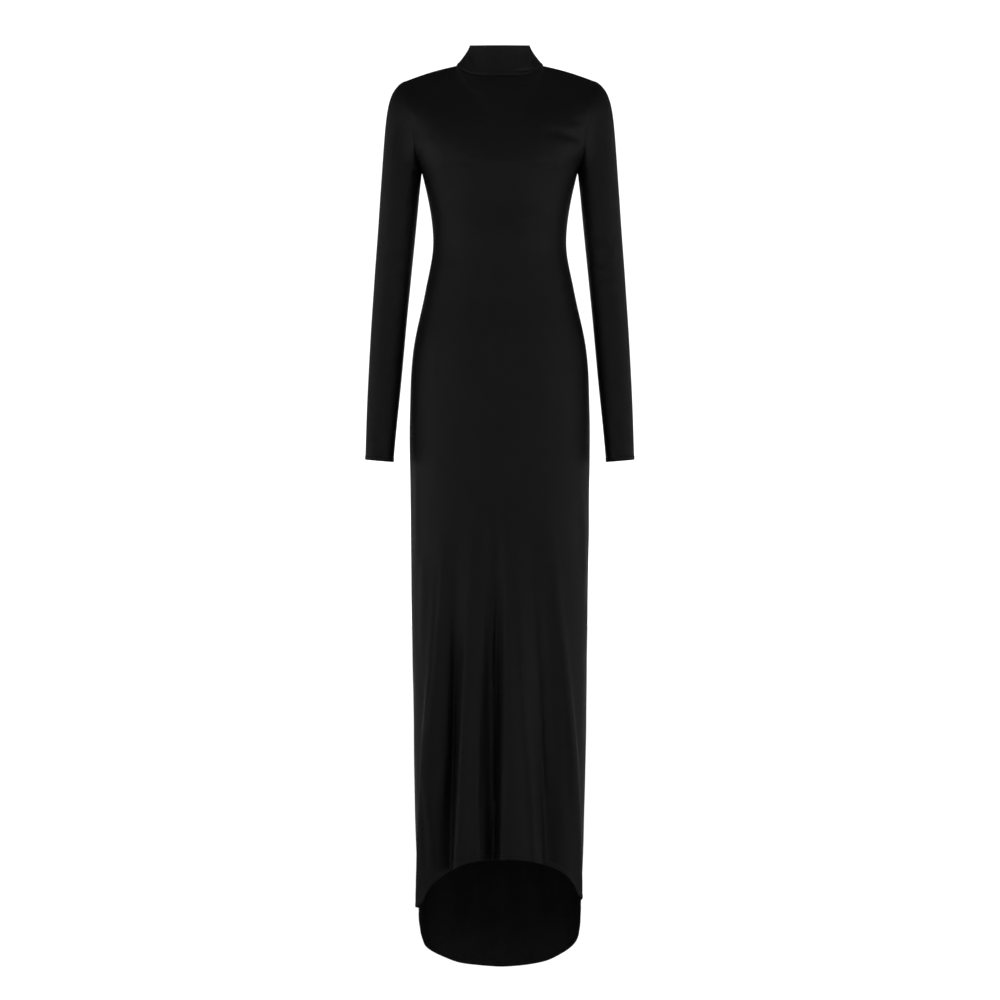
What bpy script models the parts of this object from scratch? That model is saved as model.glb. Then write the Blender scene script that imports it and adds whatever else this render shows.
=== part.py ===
"""An evening dress in soft black jersey, filled out as it is worn, with nobody in it.

The front, the back, two set-in sleeves and a high doubled collar are separate walls of cloth, parted at
their seams. The origin is the middle of the neck hole, level with the side neck points. Metres, +Z up,
the front faces -Y and the wearer's left is at +X. A drop is a distance down from the side neck points.
"""

from collections import namedtuple
import math

import bmesh
import bpy
import numpy as np

# Cloth and seams
CLOTH = 0.0012
COLLAR_CLOTH = 0.0024
SEAM = 0.0003

# Neck hole and collar
NECK_HALF_WIDTH = 0.0795
NECK_FRONT_DEPTH = 0.0605
NECK_BACK_DEPTH = 0.0600
NECK_FRONT_DROP = 0.0262
NAPE_RISE = 0.0100
COLLAR_HALF_WIDTH = 0.0546
COLLAR_FRONT_DEPTH = 0.0500
COLLAR_BACK_DEPTH = 0.0520
COLLAR_HEIGHT = 0.0370
COLLAR_TILT = 0.0090
COLLAR_FLARE = 1.35
COLLAR_PROUD = 0.0006

# Shoulder line and armhole
SHOULDER_HALF_WIDTH = 0.1740
SHOULDER_DROP = 0.0282
SHOULDER_ROUND = 0.0023
ARMPIT_DROP = 0.1980

# Sleeve
ARM_LEAN = 0.085
CUFF_DROP = 0.7312
HEAD_DROP = 0.2500
SLEEVE_GAP = 0.0004
ARM_SQUARENESS = 2.5

# Faces along and around each piece
ACROSS = 40
YOKE_ROWS = 10
WAIST_ROWS = 12
SKIRT_ROWS = 12
SKIRT_TOP = 0.6000
CROWDING = 0.35
CROWDING_RUN = 0.25
HEAD_ROWS = 8
ARM_ROWS = 12
COLLAR_ROWS = 6
SECTION_STEPS = 180

# How widely the side neck's corner is rounded off in the rows below it, as a share of half a panel
YOKE_SOFTNESS = 1.2
SOFTENING_STEPS = 6

FACING = {"front": -1.0, "back": 1.0}

# The body, level by level, from the armpits to the lowest point of the hem
Level = namedtuple("Level", "drop half_width front_depth back_depth squareness")
LEVELS = (
    Level(0.198, 0.1440, 0.1160, 0.1060, 2.25),
    Level(0.250, 0.1302, 0.1105, 0.0980, 2.20),
    Level(0.333, 0.1214, 0.0950, 0.0800, 2.15),
    Level(0.416, 0.1370, 0.0975, 0.0940, 2.20),
    Level(0.527, 0.1599, 0.1065, 0.1160, 2.30),
    Level(0.640, 0.1662, 0.1115, 0.1220, 2.35),
    Level(0.805, 0.1651, 0.1140, 0.1180, 2.45),
    Level(1.138, 0.1605, 0.1270, 0.1270, 2.60),
    Level(1.415, 0.1552, 0.1380, 0.1400, 2.75),
    Level(1.700, 0.1440, 0.1460, 0.1520, 2.80),
)

# The bottom hem, scooped up in front and dipped behind. Across runs from the right side seam to the left.
Hem = namedtuple("Hem", "across front back")
HEM = (
    Hem(-1.00, 1.5900, 1.5900),
    Hem(-0.75, 1.5490, 1.6300),
    Hem(-0.50, 1.4940, 1.6650),
    Hem(-0.25, 1.4590, 1.6865),
    Hem(0.00, 1.4515, 1.6905),
    Hem(0.25, 1.4560, 1.6865),
    Hem(0.50, 1.4800, 1.6650),
    Hem(0.75, 1.5330, 1.6300),
    Hem(1.00, 1.5900, 1.5900),
)

# The armhole on the wearer's left, from the armpit to the shoulder tip
Armhole = namedtuple("Armhole", "side forward drop")
ARMHOLES = {
    "front": (
        Armhole(0.1440, 0.0000, 0.1980),
        Armhole(0.1495, 0.0340, 0.1880),
        Armhole(0.1560, 0.0540, 0.1620),
        Armhole(0.1612, 0.0560, 0.1240),
        Armhole(0.1670, 0.0505, 0.0800),
        Armhole(0.1716, 0.0275, 0.0470),
        Armhole(0.1740, 0.0000, 0.0282),
    ),
    "back": (
        Armhole(0.1440, 0.0000, 0.1980),
        Armhole(0.1500, 0.0300, 0.1860),
        Armhole(0.1580, 0.0500, 0.1500),
        Armhole(0.1630, 0.0530, 0.1100),
        Armhole(0.1682, 0.0440, 0.0700),
        Armhole(0.1722, 0.0220, 0.0400),
        Armhole(0.1740, 0.0000, 0.0282),
    ),
}

# The arm inside the left sleeve, level by level
Arm = namedtuple("Arm", "drop middle forward half_width half_depth")
ARM = (
    Arm(0.2500, 0.1862, 0.0000, 0.0353, 0.0485),
    Arm(0.3330, 0.1930, 0.0000, 0.0344, 0.0460),
    Arm(0.4160, 0.1996, 0.0015, 0.0332, 0.0430),
    Arm(0.5270, 0.2083, 0.0080, 0.0317, 0.0395),
    Arm(0.6100, 0.2145, 0.0150, 0.0299, 0.0365),
    Arm(0.7312, 0.2215, 0.0240, 0.0261, 0.0330),
)

# Hanging folds. The places across are metres of cloth from the panel's middle, wearer's left positive, and
# the two reaches are how far each side of a fold spreads. A fold with a positive depth is a trough, and one
# with a negative depth is a ridge. The firmer a fold, the flatter its floor and the steeper its sides.
FOLD_END = {"front": 1.500, "back": 1.690}
FOLD_GROWTH = 0.75
Fold = namedtuple("Fold", "panel top hem start depth right_reach left_reach firmness")
FOLDS = (
    Fold("front", -0.0080, -0.0130, 0.740, 0.0430, 0.0170, 0.0125, 2.4),
    Fold("front", -0.020, -0.036, 0.780, 0.0100, 0.0300, 0.0100, 2.0),
    Fold("front", 0.002, 0.010, 0.800, 0.0110, 0.0080, 0.0320, 1.8),
    Fold("front", -0.074, -0.110, 0.780, 0.0310, 0.0200, 0.0190, 1.9),
    Fold("front", 0.057, 0.100, 0.760, 0.0230, 0.0180, 0.0270, 2.0),
    Fold("front", -0.102, -0.162, 0.800, -0.0140, 0.0115, 0.0170, 2.0),
    Fold("front", -0.048, -0.0845, 0.800, -0.0080, 0.0060, 0.0160, 2.0),
    Fold("front", 0.022, 0.066, 0.800, -0.0090, 0.0170, 0.0080, 2.0),
    Fold("front", 0.086, 0.170, 0.780, -0.0080, 0.0150, 0.0100, 2.0),
    Fold("back", 0.012, 0.004, 0.720, 0.0090, 0.0240, 0.0260, 2.0),
    Fold("back", 0.088, 0.122, 0.780, 0.0075, 0.0280, 0.0300, 2.0),
    Fold("back", -0.070, -0.104, 0.740, 0.0080, 0.0280, 0.0260, 2.0),
    Fold("back", 0.050, 0.064, 0.760, -0.0050, 0.0220, 0.0220, 2.0),
    Fold("back", -0.028, -0.050, 0.740, -0.0050, 0.0200, 0.0200, 2.0),
    Fold("back", -0.118, -0.162, 0.820, -0.0040, 0.0240, 0.0240, 2.0),
)

# Pulls across the elbow of each sleeve: around is a share of the way round from the inner side, forward first
Pull = namedtuple("Pull", "drop around depth half_height half_share")
PULLS = (
    Pull(0.300, 0.30, 0.0022, 0.014, 0.14),
    Pull(0.352, 0.22, 0.0026, 0.012, 0.16),
    Pull(0.398, 0.34, 0.0022, 0.013, 0.14),
)


def clear_scene():
    for obj in list(bpy.data.objects):
        bpy.data.objects.remove(obj, do_unlink=True)


def hermite(start, end, leave, arrive, share):
    """A curve from start to end that sets off along leave and comes in along arrive."""
    square = share * share
    cube = square * share
    ends = (2 * cube - 3 * square + 1) * start + (3 * square - 2 * cube) * end
    return ends + (cube - 2 * square + share) * leave + (cube - square) * arrive


def through(knots, values, at):
    """The value at a place between the knots, on a smooth curve through all of them."""
    knots = np.asarray(knots)
    values = np.asarray(values)
    slopes = np.gradient(values, knots, axis=0)
    at = np.clip(at, knots[0], knots[-1])
    before = np.clip(np.searchsorted(knots, at) - 1, 0, len(knots) - 2)
    width = knots[before + 1] - knots[before]
    share = (at - knots[before]) / width
    leave = slopes[before] * width
    arrive = slopes[before + 1] * width
    return hermite(values[before], values[before + 1], leave, arrive, share)


def column(table, name, at):
    """A column of a table, read at a place along the table's first column."""
    knots = [row[0] for row in table]
    values = [getattr(row, name) for row in table]
    return through(knots, values, at)


def ease(share):
    share = min(max(share, 0.0), 1.0)
    return share * share * (3 - 2 * share)


def unit(vectors):
    return vectors / np.linalg.norm(vectors, axis=-1, keepdims=True)


def power(value, exponent):
    return np.sign(value) * np.abs(value) ** exponent


def fold_push(panel, from_middle, drop):
    """How far the hanging folds move the cloth outwards at a place on a panel."""
    push = 0.0
    for fold in FOLDS:
        if fold.panel != panel:
            continue
        run = (drop - fold.start) / (FOLD_END[panel] - fold.start)
        away = from_middle - fold.top - (fold.hem - fold.top) * max(run, 0.0)
        reach = fold.left_reach if away > 0 else fold.right_reach
        push -= fold.depth * ease(run / FOLD_GROWTH) * math.exp(-((abs(away) / reach) ** fold.firmness))
    return push


def body_point(panel, across, drop):
    """A point of the body below the armpits. Across runs from -1 to 1 between the side seams."""
    half_width = column(LEVELS, "half_width", drop)
    depth = column(LEVELS, panel + "_depth", drop)
    squareness = column(LEVELS, "squareness", drop)
    angle = np.linspace(-math.pi / 2, math.pi / 2, SECTION_STEPS + 1)
    side = half_width * power(np.sin(angle), 2 / squareness)
    out = depth * power(np.cos(angle), 2 / squareness)
    length = np.concatenate([[0.0], np.cumsum(np.hypot(np.diff(side), np.diff(out)))])
    wanted = length[-1] * (across + 1) / 2
    x = np.interp(wanted, length, side)
    y = np.interp(wanted, length, out)
    normal = np.array([power(x / half_width, squareness - 1) / half_width,
                       power(y / depth, squareness - 1) / depth])
    normal = unit(normal)
    push = fold_push(panel, wanted - length[-1] / 2, drop)
    return np.array([x + push * normal[0], FACING[panel] * (y + push * normal[1]), -drop])


def neck_point(panel, across):
    """A point of the neck hole. Across runs from -1 to 1 between the side neck points."""
    angle = across * math.pi / 2
    if panel == "front":
        depth = NECK_FRONT_DEPTH
        height = -NECK_FRONT_DROP * (1 - math.sin(angle) ** 4)
    else:
        depth = NECK_BACK_DEPTH
        height = NAPE_RISE * math.cos(angle) ** 2
    return np.array([NECK_HALF_WIDTH * math.sin(angle), FACING[panel] * depth * math.cos(angle), height])


def shoulder_point(share):
    """A point of the left shoulder seam, from the neck to the tip."""
    x = NECK_HALF_WIDTH + (SHOULDER_HALF_WIDTH - NECK_HALF_WIDTH) * share
    return np.array([x, 0.0, SHOULDER_ROUND * math.sin(math.pi * share) - SHOULDER_DROP * share])


def top_point(panel, across):
    """The panel's top edge on the left half: the neck up to the middle, then the shoulder seam."""
    if across <= 0.5:
        return neck_point(panel, across * 2)
    return shoulder_point(across * 2 - 1)


def armhole_point(panel, share):
    """A point of the left armhole, from the armpit to the shoulder tip."""
    table = ARMHOLES[panel]
    points = np.array([[row.side, FACING[panel] * row.forward, -row.drop] for row in table])
    length = np.concatenate([[0.0], np.cumsum(np.linalg.norm(np.diff(points, axis=0), axis=1))])
    return through(length / length[-1], points, share)


def middle_point(panel, share):
    """A point of the panel's middle line, from armpit level to the neck."""
    start = body_point(panel, 0.0, ARMPIT_DROP)
    end = neck_point(panel, 0.0)
    forward = FACING[panel]
    if panel == "front":
        leave = np.array([0.0, 0.0, 0.045])
        arrive = np.array([0.0, -0.62 * forward, 0.78]) * 0.20
    else:
        leave = np.array([0.0, 0.03 * forward, 1.0]) * 0.22
        arrive = np.array([0.0, -0.78 * forward, 0.62]) * 0.22
    return hermite(start, end, leave, arrive, share)


def softened_top(panel, across, share):
    """The top edge as rows below it see it: its corner at the side neck rounds off with distance."""
    reach = YOKE_SOFTNESS * (1 - share)
    total = np.zeros(3)
    for step in range(-SOFTENING_STEPS, SOFTENING_STEPS + 1):
        place = across + reach * step / SOFTENING_STEPS
        point = top_point(panel, 1 - abs(1 - abs(place)))
        point[0] *= math.copysign(1.0, place)
        total += point
    return total / (2 * SOFTENING_STEPS + 1)


def yoke_point(panel, across, share):
    """A point above the armpits on the left half, blended from the four edges around it."""
    blend = ease(share)
    to_side = across * across
    edges = (1 - blend) * body_point(panel, across, ARMPIT_DROP)
    edges += blend * softened_top(panel, across, share)
    lines = (1 - to_side) * middle_point(panel, share) + to_side * armhole_point(panel, share)
    middle_corner = (1 - blend) * middle_point(panel, 0.0) + blend * softened_top(panel, 0.0, share)
    side_corner = (1 - blend) * armhole_point(panel, 0.0) + blend * softened_top(panel, 1.0, share)
    return edges + lines - (1 - to_side) * middle_corner - to_side * side_corner


def crowded(across, drop):
    """A column's place across, moved towards the middle in the skirt, where the folds are deepest."""
    crowd = CROWDING * ease((drop - SKIRT_TOP) / CROWDING_RUN)
    return across * (1 - crowd + crowd * across * across)


def panel_grid(panel):
    """Rows of points from the shoulders down to the hem, each running from right to left round the body."""
    places = np.linspace(-1.0, 1.0, ACROSS + 1) * -FACING[panel]
    rows = []
    for step in range(YOKE_ROWS):
        share = 1 - step / YOKE_ROWS
        row = [yoke_point(panel, abs(across), share) for across in places]
        rows.append([point * (math.copysign(1.0, across), 1, 1) for point, across in zip(row, places)])
    for step in range(WAIST_ROWS):
        drop = ARMPIT_DROP + (SKIRT_TOP - ARMPIT_DROP) * step / WAIST_ROWS
        rows.append([body_point(panel, across, drop) for across in places])
    for step in range(SKIRT_ROWS + 1):
        row = []
        for across in places:
            hem_drop = column(HEM, panel, crowded(across, HEM[0].front))
            drop = SKIRT_TOP + (hem_drop - SKIRT_TOP) * step / SKIRT_ROWS
            row.append(body_point(panel, crowded(across, drop), drop))
        rows.append(row)
    return np.array(rows)


def outward(grid, tube=False):
    """Unit directions out of the cloth at every point of a grid whose rows run anticlockwise from above."""
    down = np.gradient(grid, axis=0)
    if tube:
        around = np.roll(grid, -1, axis=1) - np.roll(grid, 1, axis=1)
    else:
        around = np.gradient(grid, axis=1)
    return unit(np.cross(down, around))


def panel_grids():
    """Both panels and their outward directions, which agree along the side and shoulder seams."""
    front = panel_grid("front")
    back = panel_grid("back")
    front_out = outward(front)
    back_out = outward(back)
    shoulder = range(ACROSS // 4 + 1)
    pairs = [((row, 0), (row, -1)) for row in range(YOKE_ROWS, len(front))]
    pairs += [((row, -1), (row, 0)) for row in range(YOKE_ROWS, len(front))]
    pairs += [((0, step), (0, -1 - step)) for step in shoulder]
    pairs += [((0, -1 - step), (0, step)) for step in shoulder]
    for on_front, on_back in pairs:
        shared = unit(front_out[on_front] + back_out[on_back])
        front_out[on_front] = shared
        back_out[on_back] = shared
    front[:, :, 1] -= SEAM / 2
    back[:, :, 1] += SEAM / 2
    return {"front": (front, front_out), "back": (back, back_out)}


def armhole_loop(panels):
    """The left armhole's points and outward directions: armpit, front, shoulder tip, back."""
    front, front_out = panels["front"]
    back, back_out = panels["back"]
    rising = range(YOKE_ROWS, -1, -1)
    falling = range(1, YOKE_ROWS)
    points = [front[row, -1] for row in rising] + [back[row, 0] for row in falling]
    facing = [front_out[row, -1] for row in rising] + [back_out[row, 0] for row in falling]
    points = np.array(points)
    points[0, 1] = 0.0
    points[YOKE_ROWS, 1] = 0.0
    return points, np.array(facing)


def arm_ring(drop, count):
    """The sleeve's points at one level of the arm, from the inner side round by the front."""
    middle = column(ARM, "middle", drop)
    angle = np.arange(count) / count * 2 * math.pi
    x = middle - column(ARM, "half_width", drop) * power(np.cos(angle), 2 / ARM_SQUARENESS)
    out = column(ARM, "half_depth", drop) * power(np.sin(angle), 2 / ARM_SQUARENESS)
    y = -column(ARM, "forward", drop) - out
    return np.stack([x, y, ARM_LEAN * (x - middle) - drop], axis=1)


def pull_in(drop, around):
    """How far the elbow's pulls draw the cloth in."""
    push = 0.0
    for pull in PULLS:
        turn = (around - pull.around + 0.5) % 1.0 - 0.5
        level = (drop - pull.drop) / pull.half_height
        push -= pull.depth * math.exp(-level * level - (turn / pull.half_share) ** 2)
    return push


def sleeve_grid(panels):
    """The left sleeve, from the armhole to the cuff, and its outward directions."""
    hole, hole_out = armhole_loop(panels)
    count = len(hole)
    start = hole + np.array([SLEEVE_GAP, 0.0, 0.0])
    end = arm_ring(HEAD_DROP, count)
    along_hole = np.roll(hole, -1, axis=0) - np.roll(hole, 1, axis=0)
    onward = unit(np.cross(along_hole, hole_out))
    onward *= np.sign(onward[:, :1] + 0.001)
    rise = (hole[:, 2] + ARMPIT_DROP) / (ARMPIT_DROP - SHOULDER_DROP)
    weight = np.array([[ease(share)] for share in rise])
    span = np.linalg.norm(end - start, axis=1, keepdims=True)
    straight = unit(end - start)
    leave = unit(weight * onward + (1 - weight) * straight) * span * (1 - 0.4 * weight)
    arrive = unit(np.array([ARM_LEAN, 0.0, -1.0])) * span * (1 + 0.6 * weight)
    rows = [hermite(start, end, leave, arrive, step / HEAD_ROWS) for step in range(HEAD_ROWS)]
    for step in range(ARM_ROWS + 1):
        drop = HEAD_DROP + (CUFF_DROP - HEAD_DROP) * step / ARM_ROWS
        rows.append(arm_ring(drop, count))
    grid = np.array(rows)
    facing = outward(grid, tube=True)
    for place in range(count):
        if weight[place, 0] > 0.25:
            facing[0, place] = hole_out[place]
    for row, places in enumerate(grid):
        for place, point in enumerate(places):
            push = pull_in(-point[2], place / count)
            grid[row, place] = point + push * facing[row, place]
    return grid, facing


def mirrored(grid, facing):
    """The same piece for the other side of the body, its rows still anticlockwise from above."""
    flip = np.array([-1.0, 1.0, 1.0])
    return grid[:, ::-1] * flip, facing[:, ::-1] * flip


def collar_grid():
    """The collar, from its folded top edge down to the neck seam, and its outward directions."""
    rows = []
    for step in range(COLLAR_ROWS + 1):
        rise = 1 - step / COLLAR_ROWS
        spread = (1 - rise) ** COLLAR_FLARE
        row = []
        for panel in ("front", "back"):
            places = np.linspace(-1.0, 1.0, ACROSS // 2, endpoint=False) * -FACING[panel]
            for across in places:
                row.append(collar_point(panel, across, rise, spread))
        rows.append(row)
    grid = np.array(rows)
    facing = outward(grid, tube=True)
    facing[-1, :, 2] = 0.0
    facing = unit(facing)
    return grid + COLLAR_PROUD * facing, facing


def collar_point(panel, across, rise, spread):
    angle = across * math.pi / 2
    depth = COLLAR_FRONT_DEPTH if panel == "front" else COLLAR_BACK_DEPTH
    top = np.array([
        COLLAR_HALF_WIDTH * math.sin(angle),
        FACING[panel] * depth * math.cos(angle),
        COLLAR_HEIGHT + COLLAR_TILT * FACING[panel] * math.cos(angle),
    ])
    base = neck_point(panel, across)
    point = top + (base - top) * spread
    point[2] = top[2] + (base[2] + SEAM - top[2]) * (1 - rise)
    return point


def jersey(name, roughness):
    """Matt black jersey with a soft sheen."""
    material = bpy.data.materials.new(name)
    material.use_nodes = True
    shader = material.node_tree.nodes["Principled BSDF"]
    shader.inputs["Base Color"].default_value = (0.006, 0.006, 0.007, 1.0)
    shader.inputs["Metallic"].default_value = 0.0
    shader.inputs["Roughness"].default_value = roughness
    return material


def cloth_wall(name, outer, facing, thickness, roughness, tube=False):
    """A wall of cloth lofted through a grid of outer points, its inner face a thickness away."""
    inner = outer - thickness * facing
    rows, columns = outer.shape[:2]
    mesh = bmesh.new()
    skins = [[[mesh.verts.new(point) for point in row] for row in grid] for grid in (outer, inner)]
    turns = columns if tube else columns - 1
    for row in range(rows - 1):
        for place in range(turns):
            beside = (place + 1) % columns
            for skin, order in zip(skins, (1, -1)):
                corners = [skin[row][place], skin[row + 1][place], skin[row + 1][beside], skin[row][beside]]
                mesh.faces.new(corners[::order])
    face, back = skins
    for place in range(turns):
        beside = (place + 1) % columns
        mesh.faces.new([face[0][beside], back[0][beside], back[0][place], face[0][place]])
        mesh.faces.new([face[-1][place], back[-1][place], back[-1][beside], face[-1][beside]])
    if not tube:
        for row in range(rows - 1):
            mesh.faces.new([face[row][0], back[row][0], back[row + 1][0], face[row + 1][0]])
            mesh.faces.new([face[row + 1][-1], back[row + 1][-1], back[row][-1], face[row][-1]])
    data = bpy.data.meshes.new(name)
    mesh.to_mesh(data)
    mesh.free()
    data.shade_smooth()
    data.set_sharp_from_angle(angle=math.radians(50))
    data.materials.append(jersey(name + "_jersey", roughness))
    return bpy.data.objects.new(name, data)


def build_dress():
    dress = bpy.data.collections.new("evening_dress")
    bpy.context.scene.collection.children.link(dress)
    panels = panel_grids()
    left = sleeve_grid(panels)
    right = mirrored(*left)
    collar, collar_out = collar_grid()
    pieces = (
        cloth_wall("front_panel", *panels["front"], CLOTH, 0.42),
        cloth_wall("back_panel", *panels["back"], CLOTH, 0.42),
        cloth_wall("sleeve_left", *left, CLOTH, 0.44, tube=True),
        cloth_wall("sleeve_right", *right, CLOTH, 0.44, tube=True),
        cloth_wall("collar", collar, collar_out, COLLAR_CLOTH, 0.46, tube=True),
    )
    for piece in pieces:
        dress.objects.link(piece)


clear_scene()
build_dress()
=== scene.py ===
"""The looks of a long-sleeved evening dress in soft black jersey, filled out as worn, with nobody in it.

Each cloth solid of the frame is replaced by a finer shell on the same form: its hanging folds, pulls at
the armpits and elbows, seam grooves, turned hems, knit and stitching. Metres, +Z up, the front faces -Y.
"""

from collections import namedtuple
import math

import bpy
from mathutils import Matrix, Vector, noise
import numpy as np


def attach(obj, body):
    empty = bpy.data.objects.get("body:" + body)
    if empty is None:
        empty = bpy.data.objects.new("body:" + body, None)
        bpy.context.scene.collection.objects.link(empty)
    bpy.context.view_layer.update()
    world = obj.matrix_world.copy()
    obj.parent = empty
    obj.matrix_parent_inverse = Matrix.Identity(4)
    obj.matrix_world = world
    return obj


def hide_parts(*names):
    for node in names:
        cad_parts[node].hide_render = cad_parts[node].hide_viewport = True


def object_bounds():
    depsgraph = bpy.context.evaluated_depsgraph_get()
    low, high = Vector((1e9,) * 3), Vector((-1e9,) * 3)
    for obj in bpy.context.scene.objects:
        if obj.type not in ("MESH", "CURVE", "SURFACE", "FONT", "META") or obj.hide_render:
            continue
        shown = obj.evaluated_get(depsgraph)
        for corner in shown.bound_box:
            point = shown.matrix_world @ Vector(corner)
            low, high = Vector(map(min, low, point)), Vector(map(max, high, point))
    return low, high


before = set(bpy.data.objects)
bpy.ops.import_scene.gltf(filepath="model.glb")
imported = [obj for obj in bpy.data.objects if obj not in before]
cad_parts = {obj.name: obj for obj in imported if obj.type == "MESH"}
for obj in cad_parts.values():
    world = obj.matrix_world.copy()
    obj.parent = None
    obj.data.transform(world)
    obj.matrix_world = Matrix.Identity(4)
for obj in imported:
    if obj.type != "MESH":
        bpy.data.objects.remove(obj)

CAD_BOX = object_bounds()
FACING = {"front": -1.0, "back": 1.0}

# Where the camera stands: metres in front of the dress, below its side neck points and to its left
VIEW_DISTANCE = 5.14
VIEW_DROP = 0.8041
VIEW_ASIDE = 0.0004
LENS = 100.0
SENSOR = 36.0
VIEW_END = 200.0

# The surround: its strength at the horizon, the share of it that is left higher up, and how high that is
STUDIO_STRENGTH = 5.40
STUDIO_ABOVE = 0.03
STUDIO_RISE = 0.13

# The surround's shades by direction, from 0 straight in front of the dress to 1 straight behind it
STUDIO_FRONT = 0.60
STUDIO_ROUND = (
    (0.02, 0.74),
    (0.07, 1.00),
    (0.30, 1.00),
    (0.50, 0.80),
    (0.66, 0.60),
    (0.80, 0.32),
    (0.965, 0.22),
)
STUDIO_BEHIND = 0.28
STUDIO_BEHIND_START = 0.982

# The white backdrop behind the dress: its strength, and where its edge starts and ends
BACKDROP_STRENGTH = 4.2
BACKDROP_EDGE = (0.930, 0.962)

# The floor, which glows white in the wedge that the camera sees: between two distances behind the dress, and
# between two slants to the side
FLOOR_CLEARANCE = 0.70
FLOOR_HALF = 30.0
FLOOR_GREY = 0.42
FLOOR_ROUGHNESS = 0.9
FLOOR_GLOW = 0.10
FLOOR_BEHIND = (2.8, 3.8)
FLOOR_SLANT = (0.21, 0.30)

# Two light boxes in front of the dress: metres to the left and watts, then what both share
SIDE_BOXES = {"side_box_left": (3.4, 10.0), "side_box_right": (-3.4, 9.0)}
SIDE_BOX_PLACE = (-1.2, -0.90)
SIDE_BOX_AIM = (0.0, 0.0, -0.7)
SIDE_BOX_SIZE = (1.2, 2.0)

# The jerseys: colour, lustre and how fine the clouds in the dye are
JERSEYS = {
    "body_jersey": ((0.0024, 0.0024, 0.0026), 0.19, 9.0),
    "sleeve_jersey": ((0.0024, 0.0024, 0.0026), 0.20, 12.0),
    # The collar is the body's own jersey, but its colour is painted a shade lighter: painted light standing
    # in for the brighter light the collar catches
    "collar_jersey": ((0.0030, 0.0030, 0.0033), 0.20, 16.0),
    "jersey_reverse": ((0.0085, 0.0085, 0.0088), 0.04, 9.0),
}
JERSEY_ROUGHNESS = (0.58, 0.68)
DYE_DETAIL = 4.0
DYE_ROUGHNESS = 0.55
DYE_STOPS = ((0.30, 0.78), (0.72, 1.25))

# The knit's wales and courses: direction on the cloth, fineness and waviness, then how far they stand out
KNIT = (("X", 1500.0, 0.4), ("Y", 1900.0, 0.3))
KNIT_STRENGTH = 0.35
KNIT_HEIGHT = 0.00012

# Cloth, seams and the gentle swells in the cloth, each with its height and its size
CLOTH = 0.0011
COLLAR_CLOTH = 0.0024
SEAM = 0.00008
SEAM_DEPTH = 0.0007
SEAM_REACH = 0.0060
SEAM_CALM = 0.0180
UNDERARM_SEAM = 0.6
CREASE_TAPER = 0.35
PANEL_SWELLS = ((0.0016, 0.085), (0.0007, 0.034))
SLEEVE_SWELL = (0.0012, 0.060)
COLLAR_SWELL = (0.0006, 0.030)
SWELL_STRETCH = (1.0, 1.0, 0.45)

# Hems, with the heights of their rows above the lower edge, and how far the front hem's line is evened
HEM_TURN = 0.0065
HEM_CLOTH = 0.0020
HEM_PROUD = 0.0005
HEM_STEPS = (0.0100, 0.0078, 0.0066, 0.0058, 0.0042, 0.0026, 0.0012, 0.0)
HEM_EVEN_END = 0.78
HEM_EVEN_FADE = 0.16
HEM_EVEN_MOST = 0.014

# Stitches and their thread
STITCH_SPACING = 0.0034
STITCH_LENGTH = 0.0026
STITCH_PROUD = 0.00008
STITCH_SIDES = 6
STITCH_RINGS = 4
THREAD = 0.00045
THREAD_TWIST = 900.0
THREAD_LUSTRE = 0.35
THREAD_ROUGHNESS = (0.35, 0.50)
THREAD_COLOURS = ((0.006, 0.006, 0.007, 1.0), (0.014, 0.014, 0.015, 1.0))

# Neck hole and collar
NECK_HALF_WIDTH = 0.0795
NECK_FRONT_DEPTH = 0.0605
NECK_BACK_DEPTH = 0.0600
NECK_FRONT_DROP = 0.0262
NAPE_RISE = 0.0100
NECK_RIDGE = 0.0003
NECK_RIDGE_DROP = 0.0046
NECK_RIDGE_REACH = 0.0020
COLLAR_HALF_WIDTH = 0.0546
COLLAR_FRONT_DEPTH = 0.0500
COLLAR_BACK_DEPTH = 0.0520
COLLAR_HEIGHT = 0.0370
COLLAR_TILT = 0.0090
COLLAR_FLARE = 1.35
COLLAR_PROUD = 0.0008
COLLAR_ROLL = 0.0005
COLLAR_ROLL_HEIGHT = 0.0032
COLLAR_ROLL_REACH = 0.0018
COLLAR_CREASE_FADE = 4

# The bust line: how far it leans out, the drops it spans and how it fades below and to the sides
BUST_LIFT = 0.0078
BUST_TOP = 0.095
BUST_BAND = 0.096
BUST_CURVE = 1.5
BUST_FADE = 0.140
BUST_SIDE = 0.150
BUST_SIDE_FADE = 0.050

# The panels' middle lines above the armpits, as they set off and as they arrive: out, up and length
MIDDLE_LINES = {
    "front": ((0.00, 1.00, 0.045), (-0.62, 0.78, 0.20)),
    "back": ((0.03, 1.00, 0.22), (-0.78, 0.62, 0.22)),
}

# Shoulder line, armhole and sleeve
SHOULDER_HALF_WIDTH = 0.1740
SHOULDER_DROP = 0.0282
SHOULDER_ROUND = 0.0023
ARMPIT_DROP = 0.1980
ARM_LEAN = 0.085
ARM_SQUARENESS = 2.5
CUFF_DROP = 0.7312
HEAD_DROP = 0.2500
HEAD_LEAVE = 0.4
HEAD_ARRIVE = 0.6
SLEEVE_TUCK = 0.0005
YOKE_SOFTNESS = 1.2
SOFTENING_STEPS = 6

# How the columns of the panels crowd towards the middle of the skirt
SKIRT_TOP = 0.6000
CROWDING = 0.35
CROWDING_RUN = 0.25

# How the bend at the armpits is eased: rows either side, metres from the middle and from the edges
ARMPIT_EASE_ROWS = 9.0
ARMPIT_EASE_START = 0.060
ARMPIT_EASE_RUN = 0.035
ARMPIT_EASE_EDGE = 0.012
ARMPIT_EASE_PASSES = 60
ARMPIT_EASE_RATE = 0.9

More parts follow.
